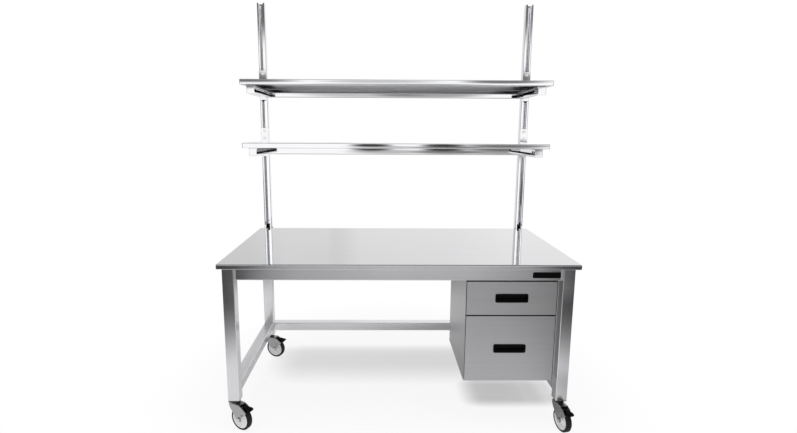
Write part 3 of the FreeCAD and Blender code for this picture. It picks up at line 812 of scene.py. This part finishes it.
def pedal_mesh():
    """Moulded brake pedal: an arm over the tyre, a wide ribbed tread and an upturned toe tip."""
    arm = [(-0.006, 0.0, 0.003), (0.0, 0.006, 0.004), (0.024, 0.0065, 0.008), (0.044, 0.0, 0.0),
           (0.042, -0.016, 0.003), (0.022, -0.011, 0.006), (0.0, -0.006, 0.004)]
    tread = [(*PEDAL_TREAD_START, 0.003), (0.051, 0.0, 0.003), (0.051, -0.009, 0.003), (0.044, -0.016, 0.003),
             (0.034, -0.015, 0.002)]
    tip = [(0.047, 0.0, 0.0), (0.052, -0.0005, 0.004), (0.06, 0.006, 0.002), (0.06, 0.0, 0.002),
           (0.053, -0.0075, 0.005), (0.047, -0.01, 0.0)]
    bm = bmesh.new()
    for outline, width in ((arm, PEDAL_ARM_WIDTH), (tread, PEDAL_TREAD_WIDTH), (tip, PEDAL_TIP_WIDTH)):
        merge_into(bm, plate_mesh(outline, width, PEDAL_EDGE))
    for place in RIB_PLACES:
        top = PEDAL_TREAD_START[1] - PEDAL_TREAD_FALL * (place - PEDAL_TREAD_START[0])
        rib_low = (place - RIB_HALF_WIDTH, -RIB_HALF_LENGTH, top - RIB_ROOT)
        rib_high = (place + RIB_HALF_WIDTH, RIB_HALF_LENGTH, top + RIB_HEIGHT)
        merge_into(bm, block_mesh(rib_low, rib_high, RIB_EDGE))
    return moved(bm, Matrix.Translation((PIN[0], 0, PIN[1])))


def build_casters():
    for name in CASTERS:
        place = caster_frame(name)
        axle = place @ Matrix.Translation((TRAIL, 0, WHEEL_RADIUS))
        piece(f"{name}_fork_pressing", moved(fork_mesh(), place), f"{name}_caster_fork", "fork")
        piece(f"{name}_tyre_ring", moved(tyre_mesh(), axle), f"{name}_caster_tyre", "rubber")
        piece(f"{name}_wheel_core", moved(core_mesh(), axle), f"{name}_caster_wheel", "core")
        piece(f"{name}_pedal_moulding", moved(pedal_mesh(), place), f"{name}_caster_brake_pedal", "black")
        bolt = f"{name}_caster_axle"
        piece(f"{name}_axle_bolt", softened(bolt, CRISP), bolt, "zinc")
    # Upright faces of the mounts get the black oxide steel: painted shade of the dark band under each leg
    piece("caster_mount_set", softened("caster_mounts", CRISP), "caster_mounts", "zinc", None,
          "oxide", is_upright)


def build_plate():
    """Bare dark plate on the right-hand end of the front apron."""
    low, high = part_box("front_apron")
    x = high.x - BARE_PLATE_END_GAP - BARE_PLATE_WIDTH
    z = (low.z + high.z) / 2 - BARE_PLATE_HEIGHT / 2 - BARE_PLATE_DROP
    bm = box_mesh((x, low.y - BARE_PLATE_THICKNESS, z), (x + BARE_PLATE_WIDTH, low.y, z + BARE_PLATE_HEIGHT))
    round_edges(bm, edges_along(bm, 1), BARE_PLATE_CORNER, 5)
    round_edges(bm, sharp_edges(bm), BARE_PLATE_EDGE, 2)
    piece("bare_plate", bm, "front_apron", "black", [])


# Black flags in front of the bright screen that the shelves mirror: place to the side and above the
# horizon, half width, half height, all in degrees, and how much light each takes away
FLAGS = (
    (-17.0, 5.9, 9.5, 1.2, 0.85), (0.0, 5.9, 9.0, 1.0, 0.42), (14.5, 5.9, 6.0, 1.2, 0.84),
    (-2.0, 4.1, 9.0, 0.9, 0.45), (6.0, 4.1, 8.0, 0.9, 0.65),
    (-0.9, -1.5, 3.3, 1.1, 0.98), (7.7, -1.5, 3.4, 1.1, 0.98), (15.0, -1.5, 7.0, 0.9, 0.85),
    (1.0, -2.5, 6.0, 0.8, 0.5), (8.0, -2.5, 5.0, 0.8, 0.78), (14.5, -2.5, 6.0, 0.8, 0.66),
)


# How much light the studio's dark flanks, ceiling and valance take away, and how much the valance adds in
# reflections of reflections, such as an upright's mirror image in the worktop
FLANK_SHADE = 0.95
CEILING_SHADE = 0.78
VALANCE_SHADE = 0.88
VALANCE_GLOW = 0.4

# Levels of the rear wall from left to right
REAR_WALL = (
    (0.15, 0.82), (0.25, 0.9), (0.36, 0.9), (0.38, 0.86),
    (0.405, 0.88), (0.45, 0.97), (0.7, 1.0), (0.85, 1.06),
)

# Levels of the floor as the steel mirrors it: outwards from the middle, and from left to right along a
# strip far in front
FLOOR_NEAR = ((0.32, 1.0), (0.43, 0.36), (0.54, 0.08), (0.66, 0.03))
FLOOR_STRIP = (
    (0.15, 0.04), (0.185, 0.2), (0.21, 0.41), (0.28, 0.58), (0.5, 0.72),
    (0.7, 0.66), (0.83, 0.48), (0.875, 0.35), (0.895, 0.17), (0.92, 0.04),
)
STRIP_HALF_WIDTH = 2.4
RIGHT_FLOOR_SHADE = 0.45

# How much of the floor's own shadow is kept under the rear, under the cabinet and elsewhere
REAR_SHADOW = 0.5
CABINET_SHADOW = 0.68
OPEN_SHADOW = 0.12

LAMP_PLACE = (0.0, -0.6, 4.2)
LAMP_SIZE = (3.4, 2.6)
LAMP_WATTS = 85.0


def build_studio():
    """White studio with a soft lamp overhead, a pale floor and a bright screen behind the camera.

    The screen has dark flanks. Directions are in degrees, side from the camera's side of the table and rise
    from the horizon.
    """
    scene = bpy.context.scene
    scene.view_settings.view_transform = "Standard"
    world = bpy.data.worlds.new("studio")
    scene.world = world
    nodes = Nodes(world)
    nodes.tree.nodes.clear()
    x, y, z = nodes.axes(nodes.node("ShaderNodeTexCoord").outputs["Generated"])
    side = x.math("ARCTAN2", x, 0 - y) * math.degrees(1.0)
    rise = z.math("ARCSINE", z) * math.degrees(1.0)
    rays = nodes.node("ShaderNodeLightPath")
    lit = nodes.fade(rise, -15.0, -13.0)
    wide = nodes.fade(side, -30.0, -20.0) * nodes.fade(side, 36.0, 26.0)
    outer = nodes.fade(abs(side - 2.0), 60.0, 90.0)
    screen = nodes.fade(side, -17.5, -15.0) * nodes.fade(side, 21.0, 18.5)
    flank = nodes.fade(rise, -3.0, -7.0) * nodes.fade(abs(side), 80.0, 55.0) * (1 - screen)
    front = lit * (0.08 + 0.92 * wide + 0.5 * outer) * (1 - FLANK_SHADE * flank)
    for at_side, at_rise, width, height, strength in FLAGS:
        front = front * (1 - strength * nodes.blob(side, rise, at_side, at_rise, width, height))
    ahead = nodes.fade(abs(side), 110.0, 80.0)
    ceiling = nodes.fade(abs(x), 0.75, 0.6) * nodes.fade(z, 0.32, 0.42) * nodes.fade(y, 0.7, 0.4)
    valance = nodes.fade(abs(side), 26.0, 22.0) * nodes.fade(rise, 9.0, 12.0) * nodes.fade(rise, 18.0, 15.5)
    first = nodes.fade(Value(nodes, rays.outputs["Glossy Depth"]), 1.6, 1.4)
    hung = valance * (VALANCE_SHADE * first - VALANCE_GLOW * (1.0 - first))
    shade = (1.0 - CEILING_SHADE * ceiling) * (1.0 - hung)
    wall = nodes.ramp((x / y.larger(0.05)) * 1.25 + 0.5, REAR_WALL)
    rear = nodes.fade(y, 0.3, 0.6)
    seen = (1.0 - ahead * (1.0 - (0.03 + 1.2 * front))) * shade * (1.0 - rear * (1.0 - wall))
    ambient = nodes.mix(rays.outputs["Is Glossy Ray"], nodes.mix(ahead, grey(0.4), grey(0.75)), seen.socket)
    shown = (Value(nodes, rays.outputs["Is Camera Ray"])
             + Value(nodes, rays.outputs["Is Transmission Ray"])).clamped()
    colour = nodes.mix(shown, ambient, (1.0, 1.0, 1.0, 1.0))
    background = nodes.node("ShaderNodeBackground", None, {"Color": colour, "Strength": 1.0})
    nodes.node("ShaderNodeOutputWorld", None, {"Surface": background.outputs[0]})
    build_floor()
    lamp("overhead_lamp", LAMP_PLACE, LAMP_SIZE, LAMP_WATTS)


def build_floor():
    """Pale round floor that keeps the table's soft shadow and fades into the white around it."""
    bm = bmesh.new()
    bmesh.ops.create_circle(bm, cap_ends=True, segments=96, radius=FLOOR_RADIUS)
    mesh = bpy.data.meshes.new("floor")
    bm.to_mesh(mesh)
    bm.free()
    floor = new_object("floor", mesh)
    finish = Finish("floor")
    x, y, _ = finish.axes(finish.place.outputs["Object"])
    rays = finish.node("ShaderNodeLightPath")
    distance = x.math("SQRT", x * x + y * y)
    near = finish.ramp(distance / FLOOR_RADIUS, FLOOR_NEAR)
    strip = finish.ramp((x + STRIP_HALF_WIDTH) / (2 * STRIP_HALF_WIDTH), FLOOR_STRIP)
    by_right_leg = finish.fade(x, 0.85, 1.1) * finish.fade(y, -1.25, -0.9)
    right_side = by_right_leg.larger(0.65 * finish.fade(x, 1.06, 1.24))
    dim = (near * (1.0 - RIGHT_FLOOR_SHADE * right_side)).larger(strip * finish.fade(y, -2.3, -2.8))
    pale = finish.mix(rays.outputs["Is Glossy Ray"], grey(0.95), dim.socket)
    finish.set(Base_Color=pale, Roughness=0.9, Specular_IOR_Level=0.0)
    white = finish.node("ShaderNodeEmission", None, {"Color": (1.0, 1.0, 1.0, 1.0), "Strength": 1.0})
    under_rear = finish.fade(y, -0.12, 0.34) * finish.fade(y, 0.66, 0.48) * finish.fade(abs(x), 1.0, 0.6)
    under_cabinet = (finish.fade(y, -0.26, -0.13) * finish.fade(y, 0.2, 0.02)
                     * finish.fade(x, 0.32, 0.52) * finish.fade(x, 1.06, 0.92))
    shadow = (REAR_SHADOW * under_rear).larger(CABINET_SHADOW * under_cabinet).larger(OPEN_SHADOW)
    veil = 1 - shadow * finish.fade(distance, 1.7, 0.9)
    mirrored = 0.4 * finish.fade(y, -0.9, -0.4) * finish.fade(x, 0.35, -0.5)
    mixed = finish.node("ShaderNodeMixShader", None, {
        0: (veil * Value(finish, rays.outputs["Is Camera Ray"])
            + mirrored * Value(finish, rays.outputs["Is Glossy Ray"])),
        1: finish.shader.outputs[0], 2: white.outputs[0]})
    finish.feed(finish.tree.nodes["Material Output"].inputs["Surface"], mixed.outputs[0])
    mesh.materials.append(finish.material)


def lamp(name, place, size, power):
    data = bpy.data.lights.new(name, "AREA")
    data.shape = "RECTANGLE"
    data.size, data.size_y = size
    data.energy = power
    made = new_object(name, data)
    made.location = place
    made.visible_glossy = False


def build_camera():
    data = bpy.data.cameras.new("camera")
    data.sensor_width = SENSOR_MM
    data.lens = SENSOR_MM * FOCAL_PX / IMAGE_WIDTH
    data.shift_x = (IMAGE_WIDTH / 2 - CENTRE_PX[0]) / IMAGE_WIDTH
    data.shift_y = (CENTRE_PX[1] - IMAGE_HEIGHT / 2) / IMAGE_WIDTH
    camera = new_object("camera", data)
    turn = (Matrix.Rotation(-CAMERA_YAW, 4, "Z") @ Matrix.Rotation(math.pi / 2 - CAMERA_PITCH, 4, "X")
            @ Matrix.Rotation(CAMERA_ROLL, 4, "Z"))
    camera.matrix_world = Matrix.Translation(CAMERA_PLACE) @ turn
    bpy.context.scene.camera = camera


build_camera()
build_studio()
build_frame_tubes()
build_worktop()
build_shelves()
build_uprights()
build_cabinet()
build_drawers()
build_casters()
build_plate()
